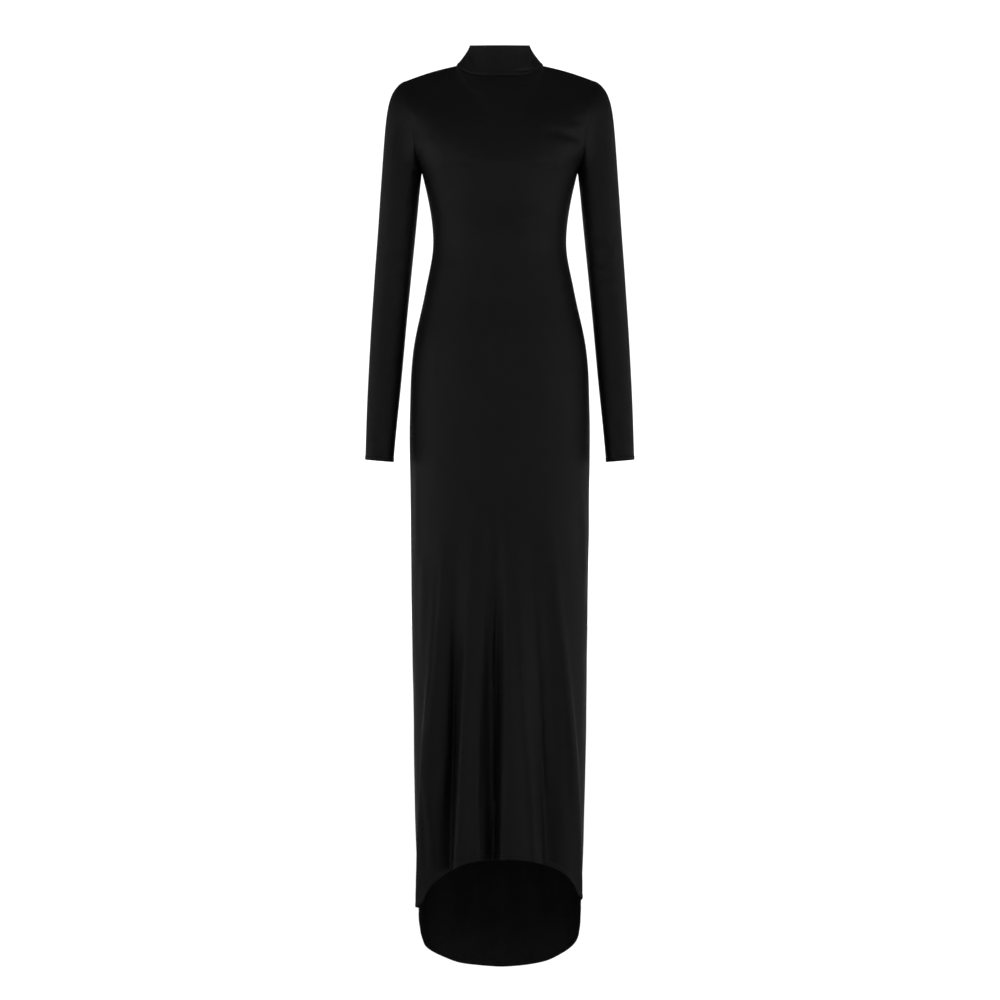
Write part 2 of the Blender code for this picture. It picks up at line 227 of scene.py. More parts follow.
# Faces along and around each piece, steps round the body, turns of a lip and where shading breaks
ACROSS = 216
YOKE_ROWS = 46
WAIST_ROWS = 60
SKIRT_ROWS = 84
HEAD_ROWS = 44
ARM_ROWS = 110
COLLAR_ROWS = 34
SECTION_STEPS = 180
LIP_TURNS = (45, 90, 135)
SHARP_ANGLE = 60

# The body, level by level, from the armpits to the lowest point of the hem
Level = namedtuple("Level", "drop half_width front_depth back_depth squareness")
LEVELS = (
    Level(0.198, 0.1440, 0.1160, 0.1060, 2.25),
    Level(0.250, 0.1302, 0.1105, 0.0980, 2.20),
    Level(0.333, 0.1214, 0.0950, 0.0800, 2.15),
    Level(0.416, 0.1370, 0.0975, 0.0940, 2.20),
    Level(0.527, 0.1599, 0.1065, 0.1160, 2.30),
    Level(0.640, 0.1662, 0.1115, 0.1220, 2.35),
    Level(0.805, 0.1651, 0.1140, 0.1180, 2.45),
    Level(1.138, 0.1605, 0.1270, 0.1270, 2.60),
    Level(1.415, 0.1552, 0.1380, 0.1400, 2.75),
    Level(1.700, 0.1440, 0.1460, 0.1520, 2.80),
)

# The bottom hem, scooped up in front and dipped behind. Across runs from the right side seam to the left.
Hem = namedtuple("Hem", "across front back")
HEM = (
    Hem(-1.00, 1.5900, 1.5900),
    Hem(-0.75, 1.5490, 1.6300),
    Hem(-0.50, 1.4940, 1.6650),
    Hem(-0.25, 1.4590, 1.6865),
    Hem(0.00, 1.4515, 1.6905),
    Hem(0.25, 1.4560, 1.6865),
    Hem(0.50, 1.4800, 1.6650),
    Hem(0.75, 1.5330, 1.6300),
    Hem(1.00, 1.5900, 1.5900),
)

# The armhole on the wearer's left, from the armpit to the shoulder tip
Armhole = namedtuple("Armhole", "side forward drop")
ARMHOLES = {
    "front": (
        Armhole(0.1440, 0.0000, 0.1980),
        Armhole(0.1495, 0.0340, 0.1880),
        Armhole(0.1560, 0.0540, 0.1620),
        Armhole(0.1612, 0.0560, 0.1240),
        Armhole(0.1670, 0.0505, 0.0800),
        Armhole(0.1716, 0.0275, 0.0470),
        Armhole(0.1740, 0.0000, 0.0282),
    ),
    "back": (
        Armhole(0.1440, 0.0000, 0.1980),
        Armhole(0.1500, 0.0300, 0.1860),
        Armhole(0.1580, 0.0500, 0.1500),
        Armhole(0.1630, 0.0530, 0.1100),
        Armhole(0.1682, 0.0440, 0.0700),
        Armhole(0.1722, 0.0220, 0.0400),
        Armhole(0.1740, 0.0000, 0.0282),
    ),
}

# The arm inside the left sleeve, level by level
Arm = namedtuple("Arm", "drop middle forward half_width half_depth")
ARM = (
    Arm(0.2500, 0.1862, 0.0000, 0.0353, 0.0485),
    Arm(0.3330, 0.1930, 0.0000, 0.0344, 0.0460),
    Arm(0.4160, 0.1996, 0.0015, 0.0332, 0.0430),
    Arm(0.5270, 0.2083, 0.0080, 0.0317, 0.0395),
    Arm(0.6100, 0.2145, 0.0150, 0.0299, 0.0365),
    Arm(0.7312, 0.2215, 0.0240, 0.0261, 0.0330),
)

# Hanging folds. The places across are metres of cloth from the panel's middle, wearer's left positive, and
# the two reaches are how far each side of a fold spreads. A fold with a positive depth is a trough, and one
# with a negative depth is a ridge. The firmer a fold, the flatter its floor and the steeper its sides.
FOLD_END = {"front": 1.500, "back": 1.690}
FOLD_GROWTH = 0.75
Fold = namedtuple("Fold", "top hem start depth right_reach left_reach firmness")
FRONT_FOLDS = (
    Fold(-0.0080, -0.0130, 0.740, 0.0430, 0.0170, 0.0125, 2.4),
    Fold(-0.020, -0.036, 0.780, 0.0100, 0.0300, 0.0100, 2.0),
    Fold(0.002, 0.010, 0.800, 0.0110, 0.0080, 0.0320, 1.8),
    Fold(-0.074, -0.110, 0.780, 0.0310, 0.0200, 0.0190, 1.9),
    Fold(0.057, 0.100, 0.760, 0.0230, 0.0180, 0.0270, 2.0),
    Fold(-0.102, -0.162, 0.800, -0.0140, 0.0115, 0.0170, 2.0),
    Fold(-0.048, -0.0845, 0.800, -0.0080, 0.0060, 0.0160, 2.0),
    Fold(0.022, 0.066, 0.800, -0.0090, 0.0170, 0.0080, 2.0),
    Fold(0.086, 0.170, 0.780, -0.0080, 0.0150, 0.0100, 2.0),
)
BACK_FOLDS = (
    Fold(0.012, 0.004, 0.720, 0.0090, 0.0240, 0.0260, 2.0),
    Fold(0.088, 0.122, 0.780, 0.0075, 0.0280, 0.0300, 2.0),
    Fold(-0.070, -0.104, 0.740, 0.0080, 0.0280, 0.0260, 2.0),
    Fold(0.050, 0.064, 0.760, -0.0050, 0.0220, 0.0220, 2.0),
    Fold(-0.028, -0.050, 0.740, -0.0050, 0.0200, 0.0200, 2.0),
    Fold(-0.118, -0.162, 0.820, -0.0040, 0.0240, 0.0240, 2.0),
)
FOLDS = {"front": FRONT_FOLDS, "back": BACK_FOLDS}

# Creases: soft troughs and ridges from one place to another as seen from the front, in metres across and
# down. The depths are as in the folds. The bow is how far the middle of the line lies to its left, looking
# along it.
Crease = namedtuple("Crease", "x drop to_x to_drop bow depth reach")
FRONT_CREASES = (
    # Pulls from the armpits towards the bust
    Crease(-0.158, 0.160, -0.095, 0.205, 0.006, 0.0012, 0.0110),
    Crease(-0.176, 0.120, -0.140, 0.178, 0.004, -0.0020, 0.0075),
    Crease(-0.172, 0.150, -0.140, 0.215, 0.003, 0.0018, 0.0060),
    Crease(-0.150, 0.178, -0.105, 0.232, 0.004, -0.0010, 0.0100),
    Crease(0.160, 0.150, 0.070, 0.137, -0.006, 0.0026, 0.0090),
    Crease(0.158, 0.165, 0.105, 0.158, -0.004, -0.0018, 0.0080),
    Crease(0.152, 0.180, 0.112, 0.215, -0.004, 0.0008, 0.0100),
    Crease(0.168, 0.105, 0.100, 0.108, 0.004, 0.0012, 0.0090),
    # Slack under the bust and at the waist
    Crease(-0.060, 0.252, 0.015, 0.262, 0.004, 0.0008, 0.0060),
    Crease(0.020, 0.300, 0.100, 0.285, 0.005, 0.0007, 0.0070),
    Crease(-0.110, 0.325, -0.040, 0.345, 0.003, 0.0008, 0.0070),
    Crease(0.112, 0.350, 0.050, 0.366, -0.003, 0.0008, 0.0070),
    Crease(-0.115, 0.372, -0.060, 0.402, 0.003, -0.0007, 0.0080),
    # Long soft runs over the hips
    Crease(-0.122, 0.450, -0.124, 0.640, 0.002, -0.0011, 0.0080),
    Crease(-0.146, 0.610, -0.146, 0.720, 0.002, 0.0016, 0.0100),
    Crease(-0.152, 0.720, -0.152, 0.940, 0.001, -0.0026, 0.0050),
    Crease(0.144, 0.760, 0.156, 0.985, 0.005, -0.0026, 0.0060),
    Crease(0.156, 0.840, 0.163, 1.020, 0.001, 0.0016, 0.0045),
    # Sharp crests along the hanging folds
    Crease(-0.1100, 0.880, -0.139, 1.260, 0.002, 0.0034, 0.0048),
    Crease(-0.090, 0.900, -0.112, 1.470, 0.003, -0.0070, 0.0120),
    Crease(-0.012, 0.900, -0.014, 1.470, 0.000, -0.0090, 0.0065),
    Crease(0.064, 0.880, 0.092, 1.440, 0.002, -0.0070, 0.0125),
    Crease(0.032, 0.960, 0.058, 1.430, 0.004, 0.0024, 0.0048),
    Crease(0.098, 0.940, 0.136, 1.300, 0.003, -0.0016, 0.0060),
    Crease(-0.137, 0.880, -0.139, 1.120, 0.000, -0.0045, 0.0085),
    Crease(-0.148, 1.290, -0.134, 1.490, 0.003, 0.0030, 0.0060),
    Crease(-0.143, 1.280, -0.122, 1.510, 0.003, -0.0030, 0.0060),
    Crease(-0.030, 1.150, -0.034, 1.440, 0.000, 0.0018, 0.0055),
    Crease(0.118, 1.120, 0.122, 1.440, 0.002, 0.0016, 0.0080),
)
BACK_CREASES = (
    # Pulls between the shoulder blades and at the armpits
    Crease(-0.158, 0.158, -0.090, 0.190, 0.005, 0.0022, 0.0085),
    Crease(-0.152, 0.178, -0.104, 0.236, 0.004, -0.0014, 0.0075),
    Crease(0.158, 0.155, 0.084, 0.182, -0.006, 0.0022, 0.0090),
    Crease(0.152, 0.180, 0.110, 0.226, -0.004, -0.0013, 0.0075),
    Crease(-0.030, 0.060, 0.034, 0.064, 0.005, 0.0008, 0.0080),
    # Slack in the hollow of the waist
    Crease(-0.112, 0.312, -0.020, 0.334, 0.008, 0.0022, 0.0090),
    Crease(0.110, 0.322, 0.012, 0.350, -0.008, 0.0020, 0.0095),
    Crease(-0.098, 0.352, 0.004, 0.374, 0.009, 0.0018, 0.0090),
    Crease(0.092, 0.366, 0.004, 0.392, -0.007, 0.0015, 0.0090),
    Crease(-0.070, 0.290, 0.030, 0.300, 0.006, -0.0012, 0.0090),
    # Long soft runs and crests
    Crease(-0.120, 0.620, -0.126, 0.820, 0.002, -0.0012, 0.0080),
    Crease(0.128, 0.600, 0.136, 0.860, 0.002, -0.0014, 0.0075),
    Crease(-0.150, 0.760, -0.158, 1.100, 0.003, -0.0026, 0.0055),
    Crease(0.150, 0.820, 0.156, 1.180, -0.003, -0.0026, 0.0055),
    Crease(-0.026, 0.900, -0.044, 1.480, 0.003, -0.0020, 0.0050),
    Crease(0.050, 0.940, 0.060, 1.560, 0.004, -0.0020, 0.0050),
    Crease(0.106, 1.040, 0.142, 1.560, 0.003, -0.0018, 0.0060),
    Crease(-0.102, 1.080, -0.140, 1.580, -0.004, -0.0018, 0.0060),
)

# Pulls in a sleeve: x is metres of cloth round from the underarm seam, forward first
LEFT_SLEEVE_CREASES = (
    Crease(0.030, 0.215, 0.085, 0.180, 0.004, 0.0018, 0.0070),
    Crease(0.022, 0.240, 0.070, 0.222, 0.003, -0.0012, 0.0060),
    Crease(0.030, 0.330, 0.080, 0.342, 0.003, 0.0024, 0.0050),
    Crease(0.090, 0.345, 0.052, 0.372, 0.003, -0.0020, 0.0045),
    Crease(0.028, 0.372, 0.078, 0.385, -0.003, 0.0023, 0.0045),
    Crease(0.034, 0.404, 0.088, 0.396, 0.002, 0.0020, 0.0050),
    Crease(0.082, 0.420, 0.045, 0.440, 0.002, 0.0018, 0.0050),
    Crease(0.100, 0.300, 0.070, 0.328, 0.002, 0.0010, 0.0060),
    Crease(0.150, 0.350, 0.200, 0.365, 0.003, 0.0013, 0.0070),
    Crease(0.150, 0.400, 0.196, 0.388, 0.003, 0.0014, 0.0070),
    Crease(0.140, 0.640, 0.180, 0.660, 0.002, 0.0010, 0.0070),
    Crease(0.030, 0.660, 0.074, 0.676, 0.002, 0.0010, 0.0060),
    Crease(0.040, 0.700, 0.080, 0.692, 0.002, -0.0008, 0.0050),
)
RIGHT_SLEEVE_CREASES = (
    Crease(0.028, 0.220, 0.080, 0.184, 0.004, 0.0020, 0.0060),
    Crease(0.024, 0.352, 0.084, 0.370, 0.003, 0.0018, 0.0060),
    Crease(0.030, 0.392, 0.078, 0.404, 0.002, 0.0015, 0.0060),
    Crease(0.150, 0.360, 0.205, 0.372, 0.003, 0.0013, 0.0070),
    Crease(0.146, 0.402, 0.190, 0.392, 0.003, 0.0011, 0.0070),
    Crease(0.050, 0.560, 0.056, 0.650, 0.002, -0.0010, 0.0060),
    Crease(0.036, 0.690, 0.078, 0.682, 0.002, 0.0008, 0.0060),
)

# Puckers of the collar, drawn as seen from the front
COLLAR_CREASES = (
    Crease(-0.0625, -0.014, -0.0690, 0.004, 0.001, 0.0012, 0.0022),
    Crease(-0.0560, -0.012, -0.0600, 0.010, 0.001, -0.0009, 0.0024),
    Crease(-0.0500, -0.010, -0.0440, 0.014, 0.001, 0.0007, 0.0030),
    Crease(0.0240, 0.0190, 0.0740, 0.0090, -0.002, 0.0016, 0.0026),
    Crease(0.0560, -0.012, 0.0640, 0.004, -0.001, 0.0011, 0.0024),
    Crease(0.0460, -0.010, 0.0480, 0.010, -0.001, -0.0008, 0.0028),
    Crease(-0.0100, -0.020, -0.0060, 0.012, 0.001, 0.0005, 0.0050),
)
CREASES = {
    "front": FRONT_CREASES,
    "back": BACK_CREASES,
    "left": LEFT_SLEEVE_CREASES,
    "right": RIGHT_SLEEVE_CREASES,
    "collar": COLLAR_CREASES,
}


def hermite(start, end, leave, arrive, share):
    """A curve from start to end that sets off along leave and comes in along arrive."""
    square = share * share
    cube = square * share
    ends = (2 * cube - 3 * square + 1) * start + (3 * square - 2 * cube) * end
    return ends + (cube - 2 * square + share) * leave + (cube - square) * arrive


def through(knots, values, at):
    """The value at a place between the knots, on a smooth curve through all of them."""
    knots = np.asarray(knots)
    values = np.asarray(values)
    slopes = np.gradient(values, knots, axis=0)
    at = np.clip(at, knots[0], knots[-1])
    before = np.clip(np.searchsorted(knots, at) - 1, 0, len(knots) - 2)
    width = knots[before + 1] - knots[before]
    share = (at - knots[before]) / width
    if values.ndim > 1:
        width, share = np.expand_dims(width, -1), np.expand_dims(share, -1)
    leave = slopes[before] * width
    arrive = slopes[before + 1] * width
    return hermite(values[before], values[before + 1], leave, arrive, share)


def column(table, name, at):
    """A column of a table, read at places along the table's first column."""
    return through([row[0] for row in table], [getattr(row, name) for row in table], at)


def ease(share):
    share = np.clip(share, 0.0, 1.0)
    return share * share * (3 - 2 * share)


def unit(vectors):
    return vectors / np.maximum(np.linalg.norm(vectors, axis=-1, keepdims=True), 1e-12)


def power(value, exponent):
    return np.sign(value) * np.abs(value) ** exponent


def fold_push(panel, from_middle, drop):
    """How far the hanging folds move the cloth outwards at places on a panel."""
    push = np.zeros_like(from_middle)
    for fold in FOLDS[panel]:
        run = (drop - fold.start) / (FOLD_END[panel] - fold.start)
        away = from_middle - fold.top - (fold.hem - fold.top) * np.maximum(run, 0.0)
        reach = np.where(away > 0, fold.left_reach, fold.right_reach)
        push -= fold.depth * ease(run / FOLD_GROWTH) * np.exp(-((np.abs(away) / reach) ** fold.firmness))
    return push


def body_row(panel, across, drop, folded=True):
    """A row of points of the body below the armpits, and each point's metres of cloth from the middle."""
    drop = np.broadcast_to(drop, across.shape).astype(float)
    half_width = column(LEVELS, "half_width", drop)
    depth = column(LEVELS, panel + "_depth", drop)
    squareness = column(LEVELS, "squareness", drop)
    angle = np.linspace(-math.pi / 2, math.pi / 2, SECTION_STEPS + 1)
    side = half_width[:, None] * power(np.sin(angle), 2 / squareness[:, None])
    out = depth[:, None] * power(np.cos(angle), 2 / squareness[:, None])
    steps = np.hypot(np.diff(side), np.diff(out))
    length = np.concatenate([np.zeros((len(drop), 1)), np.cumsum(steps, axis=1)], axis=1)
    wanted = length[:, -1] * (across + 1) / 2
    x = np.array([np.interp(*place) for place in zip(wanted, length, side)])
    y = np.array([np.interp(*place) for place in zip(wanted, length, out)])
    normal = unit(np.stack([power(x / half_width, squareness - 1) / half_width,
                            power(y / depth, squareness - 1) / depth], axis=1))
    from_middle = wanted - length[:, -1] / 2
    push = fold_push(panel, from_middle, drop) * folded
    points = np.stack([x + push * normal[:, 0], FACING[panel] * (y + push * normal[:, 1]), -drop], axis=1)
    return points, from_middle


def neck_points(panel, across):
    """Points of the neck hole. Across runs from -1 to 1 between the side neck points."""
    angle = across * math.pi / 2
    if panel == "front":
        depth = NECK_FRONT_DEPTH
        height = -NECK_FRONT_DROP * (1 - np.sin(angle) ** 4)
    else:
        depth = NECK_BACK_DEPTH
        height = NAPE_RISE * np.cos(angle) ** 2
    return np.stack([NECK_HALF_WIDTH * np.sin(angle), FACING[panel] * depth * np.cos(angle), height], axis=-1)


def top_points(panel, across):
    """The panel's top edge on the left half: the neck up to the middle, then the shoulder seam."""
    neck = neck_points(panel, np.minimum(across, 0.5) * 2)
    share = np.maximum(across * 2 - 1, 0.0)
    x = NECK_HALF_WIDTH + (SHOULDER_HALF_WIDTH - NECK_HALF_WIDTH) * share
    height = SHOULDER_ROUND * np.sin(math.pi * share) - SHOULDER_DROP * share
    shoulder = np.stack([x, np.zeros_like(x), height], axis=-1)
    return np.where((across <= 0.5)[:, None], neck, shoulder)


def softened_top(panel, across, share):
    """The top edge as rows below it see it: its corner at the side neck rounds off with distance."""
    reach = YOKE_SOFTNESS * (1 - share)
    total = np.zeros((len(across), 3))
    for step in range(-SOFTENING_STEPS, SOFTENING_STEPS + 1):
        place = across + reach * step / SOFTENING_STEPS
        points = top_points(panel, 1 - np.abs(1 - np.abs(place)))
        points[:, 0] *= np.where(place < 0, -1.0, 1.0)
        total += points
    return total / (2 * SOFTENING_STEPS + 1)


def armhole_points(panel, share):
    """Points of the left armhole, from the armpit to the shoulder tip."""
    table = ARMHOLES[panel]
    points = np.array([[row.side, FACING[panel] * row.forward, -row.drop] for row in table])
    length = np.concatenate([[0.0], np.cumsum(np.linalg.norm(np.diff(points, axis=0), axis=1))])
    return through(length / length[-1], points, share)


def middle_point(panel, share):
    """A point of the panel's middle line, from armpit level to the neck."""
    start = body_row(panel, np.zeros(1), ARMPIT_DROP)[0][0]
    end = neck_points(panel, np.zeros(1))[0]
    ways = [length * np.array([0.0, out * FACING[panel], up]) for out, up, length in MIDDLE_LINES[panel]]
    return hermite(start, end, *ways, share)


def yoke_row(panel, across, share):
    """A row above the armpits, blended from the four edges around each half."""
    blend = ease(share)
    half = np.abs(across)
    to_side = (half * half)[:, None]
    points = (1 - blend) * body_row(panel, half, ARMPIT_DROP)[0] + blend * softened_top(panel, half, share)
    points += (1 - to_side) * middle_point(panel, share) + to_side * armhole_points(panel, np.array(share))
    ends = softened_top(panel, np.array([0.0, 1.0]), share)
    points -= (1 - to_side) * ((1 - blend) * middle_point(panel, 0.0) + blend * ends[0])
    points -= to_side * ((1 - blend) * armhole_points(panel, np.array(0.0)) + blend * ends[1])
    points[:, 0] *= np.where(across < 0, -1.0, 1.0)
    return points


def crowded(across, drop):
    """A column's place across, moved towards the middle in the skirt, where the folds are deepest."""
    crowd = CROWDING * ease((drop - SKIRT_TOP) / CROWDING_RUN)
    return across * (1 - crowd + crowd * across * across)


def hem_drops(panel, across):
    """How low the hem hangs, evened out so that the front's folds don't notch its line as seen square on.

    The evening fades out before the side seams, where the cloth turns away from that view.
    """
    drop = column(HEM, panel, across)
    if panel == "back":
        return drop
    plain = body_row(panel, across, drop, folded=False)[0]
    folded = body_row(panel, across, drop)[0]
    near = 1 / (plain[:, 1] + VIEW_DISTANCE)
    order = np.argsort(plain[:, 0] * near)
    seen_across = (plain[:, 0] * near)[order]
    seen_drop = ((drop - VIEW_DROP) * near)[order]
    away = folded[:, 1] + VIEW_DISTANCE
    even = VIEW_DROP + away * np.interp(folded[:, 0] / away, seen_across, seen_drop)
    shift = np.clip(even - drop, -HEM_EVEN_MOST, HEM_EVEN_MOST)
    return drop + ease((HEM_EVEN_END - np.abs(across)) / HEM_EVEN_FADE) * shift


def panel_grid(panel):
    """Rows of points from the shoulders to the hem, each running anticlockwise as seen from above.

    With it come each point's place on the cloth: metres from the middle, and metres down.
    """
    places = np.linspace(-1.0, 1.0, ACROSS + 1) * -FACING[panel]
    rows = []
    cloth = []
    _, armpit_reach = body_row(panel, places, ARMPIT_DROP)
    for step in range(YOKE_ROWS):
        share = 1 - step / YOKE_ROWS
        rows.append(yoke_row(panel, places, share))
        cloth.append(np.stack([armpit_reach, -rows[-1][:, 2]], axis=1))
    drops = [ARMPIT_DROP + (SKIRT_TOP - ARMPIT_DROP) * step / WAIST_ROWS for step in range(WAIST_ROWS)]
    hem = hem_drops(panel, crowded(places, HEM[0].front))
    skirt_end = hem - HEM_STEPS[0]
    drops += [SKIRT_TOP + (skirt_end - SKIRT_TOP) * step / SKIRT_ROWS for step in range(SKIRT_ROWS)]
    drops += [hem - step for step in HEM_STEPS]
    for drop in drops:
        points, from_middle = body_row(panel, crowded(places, drop), drop)
        rows.append(points)
        cloth.append(np.stack([from_middle, -points[:, 2]], axis=1))
    return np.array(rows), np.array(cloth)


def outward(grid, tube=False):
    """Unit directions out of the cloth at every point of a grid whose rows run anticlockwise from above."""
    down = np.gradient(grid, axis=0)
    if tube:
        around = np.roll(grid, -1, axis=1) - np.roll(grid, 1, axis=1)
    else:
        around = np.gradient(grid, axis=1)
    return unit(np.cross(down, around))


def share_seams(front_out, back_out):
    """Makes the two panels' outward directions agree along the side and shoulder seams."""
    rows = len(front_out)
    pairs = [((row, 0), (row, -1)) for row in range(YOKE_ROWS, rows)]
    pairs += [((row, -1), (row, 0)) for row in range(YOKE_ROWS, rows)]
    pairs += [((0, step), (0, -1 - step)) for step in range(ACROSS // 4 + 1)]
    pairs += [((0, -1 - step), (0, step)) for step in range(ACROSS // 4 + 1)]
    for on_front, on_back in pairs:
        shared = unit(front_out[on_front] + back_out[on_back])
        front_out[on_front] = shared
        back_out[on_back] = shared


def crease_push(creases, across, down):
    """How far a set of creases moves the cloth outwards at places on it."""
    push = np.zeros_like(across)
    for crease in creases:
        run_x = crease.to_x - crease.x
        run_down = crease.to_drop - crease.drop
        length = math.hypot(run_x, run_down)
        share = ((across - crease.x) * run_x + (down - crease.drop) * run_down) / length**2
        away = ((across - crease.x) * run_down - (down - crease.drop) * run_x) / length
        inside = np.clip(share, 0.0, 1.0)
        away = away - crease.bow * 4 * inside * (1 - inside)
        taper = ease(inside / CREASE_TAPER) * ease((1 - inside) / CREASE_TAPER)
        push -= crease.depth * taper * np.exp(-((away / crease.reach) ** 2))
    return push


def unevenness(grid, strength, size):
    """Gentle swells that no two places on the cloth share."""
    flat = grid.reshape(-1, 3) / size
    swell = [noise.noise(Vector(point * SWELL_STRETCH)) for point in flat]
    return strength * np.array(swell).reshape(grid.shape[:2])


def seam_push(distance):
    """The shallow groove that a seam draws in the cloth beside it."""
    return -SEAM_DEPTH * (1 - ease(distance / SEAM_REACH)) ** 2


def edge_distance(grid, column_index):
    """Metres along the cloth from one side edge of a panel to each point of its rows."""
    steps = np.linalg.norm(np.diff(grid, axis=1), axis=2)
    length = np.concatenate([np.zeros((len(grid), 1)), np.cumsum(steps, axis=1)], axis=1)
    return length if column_index == 0 else length[:, -1:] - length


def edge_drop(grid):
    """Metres along the cloth from its upper edge down to each point of its columns."""
    steps = np.linalg.norm(np.diff(grid, axis=0), axis=2)
    return np.concatenate([np.zeros((1, grid.shape[1])), np.cumsum(steps, axis=0)])


def tube_steps(grid):
    """The length of each step round a tube, and how far round each point lies."""
    steps = np.linalg.norm(np.roll(grid, -1, axis=1) - grid, axis=2)
    return steps, np.cumsum(steps, axis=1) - steps


def relaxed(grid):
    """A panel with the bend at the armpits eased into the cloth above and below it, away from its edges."""
    rows = np.exp(-((np.arange(len(grid)) - YOKE_ROWS) / ARMPIT_EASE_ROWS) ** 2)[:, None]
    beside = ease((np.abs(grid[:, :, 0]) - ARMPIT_EASE_START) / ARMPIT_EASE_RUN)
    from_edge = ease(np.minimum(edge_distance(grid, 0), edge_distance(grid, -1)) / ARMPIT_EASE_EDGE)
    weight = (rows * beside * from_edge)[1:-1, 1:-1, None]
    for _ in range(ARMPIT_EASE_PASSES):
        around = grid[:-2, 1:-1] + grid[2:, 1:-1] + grid[1:-1, :-2] + grid[1:-1, 2:]
        grid[1:-1, 1:-1] += weight * (around / 4 - grid[1:-1, 1:-1]) * ARMPIT_EASE_RATE
    return grid


def finished_panels():
    """Both panels' outer points, outward directions and places on the cloth, plain and finished.

    The finished ones carry the creases, swells and seam grooves, moved alike on both sides of a seam.
    """
    plain = {}
    for panel in ("front", "back"):
        grid, cloth = panel_grid(panel)
        grid = relaxed(grid)
        plain[panel] = [grid, outward(grid), cloth]
    share_seams(plain["front"][1], plain["back"][1])
    finished = {}
    for panel, (grid, facing, cloth) in plain.items():
        to_side = np.minimum(edge_distance(grid, 0), edge_distance(grid, -1))
        from_top = edge_drop(grid)
        push = crease_push(CREASES[panel], grid[:, :, 0], -grid[:, :, 2])
        push += sum(unevenness(grid, *swell) for swell in PANEL_SWELLS)
        push *= ease(to_side / SEAM_CALM) * ease(from_top / SEAM_CALM)
        push += np.minimum(seam_push(to_side), seam_push(from_top))
        if panel == "front":
            push += bust_push(grid)
        by_neck = ease((NECK_HALF_WIDTH + SEAM_CALM - np.abs(grid[:, :, 0])) / SEAM_CALM)
        push += NECK_RIDGE * by_neck * np.exp(-(((from_top - NECK_RIDGE_DROP) / NECK_RIDGE_REACH) ** 2))
        outer = grid + push[:, :, None] * facing
        finished[panel] = [outer, outward(outer), cloth]
    share_seams(finished["front"][1], finished["back"][1])
    return plain, finished


def armhole_loop(panels):
    """The left armhole's points and outward directions: armpit, front, shoulder tip, back."""
    front, front_out = panels["front"][:2]
    back, back_out = panels["back"][:2]
    rising = range(YOKE_ROWS, -1, -1)
    falling = range(1, YOKE_ROWS)
    points = [front[row, -1] for row in rising] + [back[row, 0] for row in falling]
    facing = [front_out[row, -1] for row in rising] + [back_out[row, 0] for row in falling]
    return np.array(points), np.array(facing)


def arm_ring(drop, count):
    """The sleeve's points at one level of the arm, from the inner side round by the front."""
    middle = column(ARM, "middle", drop)
    angle = np.arange(count) / count * 2 * math.pi
    x = middle - column(ARM, "half_width", drop) * power(np.cos(angle), 2 / ARM_SQUARENESS)
    out = column(ARM, "half_depth", drop) * power(np.sin(angle), 2 / ARM_SQUARENESS)
    y = -column(ARM, "forward", drop) - out
    return np.stack([x, y, ARM_LEAN * (x - middle) - drop], axis=1)


def sleeve_grid(plain, finished, wearer_side):
    """A sleeve from the armhole to the cuff, built on the left, with each point's place on the cloth."""
    hole, hole_out = armhole_loop(plain)
    hole_shift = armhole_loop(finished)[0] - hole
    count = len(hole)
    end = arm_ring(HEAD_DROP, count)
    along_hole = np.roll(hole, -1, axis=0) - np.roll(hole, 1, axis=0)
    onward = unit(np.cross(along_hole, hole_out))
    onward *= np.sign(onward[:, :1] + 0.001)
    start = hole - SLEEVE_TUCK * onward
    rise = (hole[:, 2] + ARMPIT_DROP) / (ARMPIT_DROP - SHOULDER_DROP)
    weight = ease(rise)[:, None]
    span = np.linalg.norm(end - start, axis=1, keepdims=True)
    straight = unit(end - start)
    leave = unit(weight * onward + (1 - weight) * straight) * span * (1 - HEAD_LEAVE * weight)
    arrive = unit(np.array([ARM_LEAN, 0.0, -1.0])) * span * (1 + HEAD_ARRIVE * weight)
    rows = [hermite(start, end, leave, arrive, step / HEAD_ROWS) for step in range(HEAD_ROWS)]
    drops = list(np.linspace(HEAD_DROP, CUFF_DROP - HEM_STEPS[0], ARM_ROWS + 1)[:-1])
    drops += [CUFF_DROP - step for step in HEM_STEPS]
    rows += [arm_ring(drop, count) for drop in drops]
    grid = np.array(rows)
    facing = outward(grid, tube=True)
    steps, around = tube_steps(grid)
    down = -grid[:, :, 2]
    push = crease_push(CREASES[wearer_side], around, down)
    push += unevenness(grid, *SLEEVE_SWELL)
    from_hole = edge_drop(grid)
    push *= ease(from_hole / SEAM_CALM)
    girth = steps.sum(axis=1, keepdims=True)
    push += seam_push(np.minimum(around, girth - around)) * ease(from_hole / SEAM_REACH) * UNDERARM_SEAM
    follow = (1 - ease(from_hole / SEAM_REACH))[:, :, None]
    outer = grid + push[:, :, None] * facing + follow * hole_shift
    return outer, np.stack([around, down], axis=2)


def bust_push(grid):
    """The bust line: the chest leans out down to it, and the cloth falls back below it."""
    drop = -grid[:, :, 2]
    rise = np.clip((drop - BUST_TOP) / BUST_BAND, 0.0, 1.0) ** BUST_CURVE
    fall = np.exp(-np.maximum(drop - BUST_TOP - BUST_BAND, 0.0) / BUST_FADE)
    aside = ease((BUST_SIDE - np.abs(grid[:, :, 0])) / BUST_SIDE_FADE)
    return BUST_LIFT * rise * fall * aside


